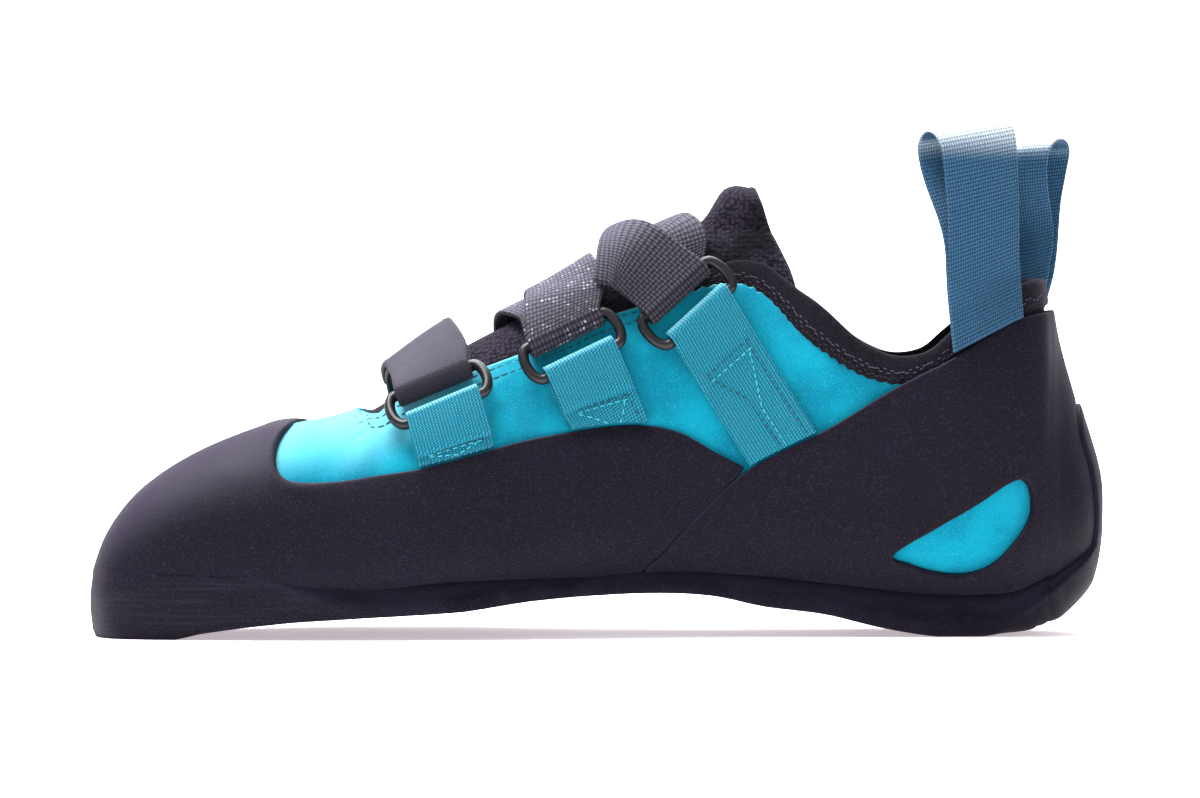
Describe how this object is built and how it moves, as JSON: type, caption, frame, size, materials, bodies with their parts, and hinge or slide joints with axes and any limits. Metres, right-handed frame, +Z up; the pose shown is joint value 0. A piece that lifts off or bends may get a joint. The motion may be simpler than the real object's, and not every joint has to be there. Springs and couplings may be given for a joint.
{
  "type": "climbing shoe",
  "caption": "Right climbing shoe with a hollow lasted upper, rubber sole and rands, strap closures through oval rings, a padded tongue and heel pull loops.",
  "frame": {"origin": "on the floor under the middle of the shoe's box", "axes": "+X to the heel, -Y to the inner side of the foot, +Z up"},
  "size_m": [0.2454, 0.0903, 0.1248],
  "materials": {
    "suede": "matt napped microsuede",
    "rubber": "matt moulded",
    "padding": "fuzzy mesh",
    "webbing": "woven webbing",
    "teal_tape": "ribbed woven tape",
    "loop_tape": "ribbed woven tape",
    "ring": "satin black",
    "insole": "matt lining"
  },
  "bodies": {
    "root": {"upper": "suede", "insole": "insole", "outsole": "rubber", "front_rand": "rubber", "heel_sling": "rubber", "collar_binding": "padding", "tongue": "padding", "strap_front": "webbing", "strap_middle": "webbing", "strap_rear": "webbing", "ring_front": "ring", "ring_middle": "ring", "ring_rear": "ring", "ring_tab_front": "teal_tape", "ring_tab_middle": "teal_tape", "ring_tab_rear": "teal_tape", "pull_loop_inner": "loop_tape", "pull_loop_outer": "loop_tape"}
  },
  "joints": []
}
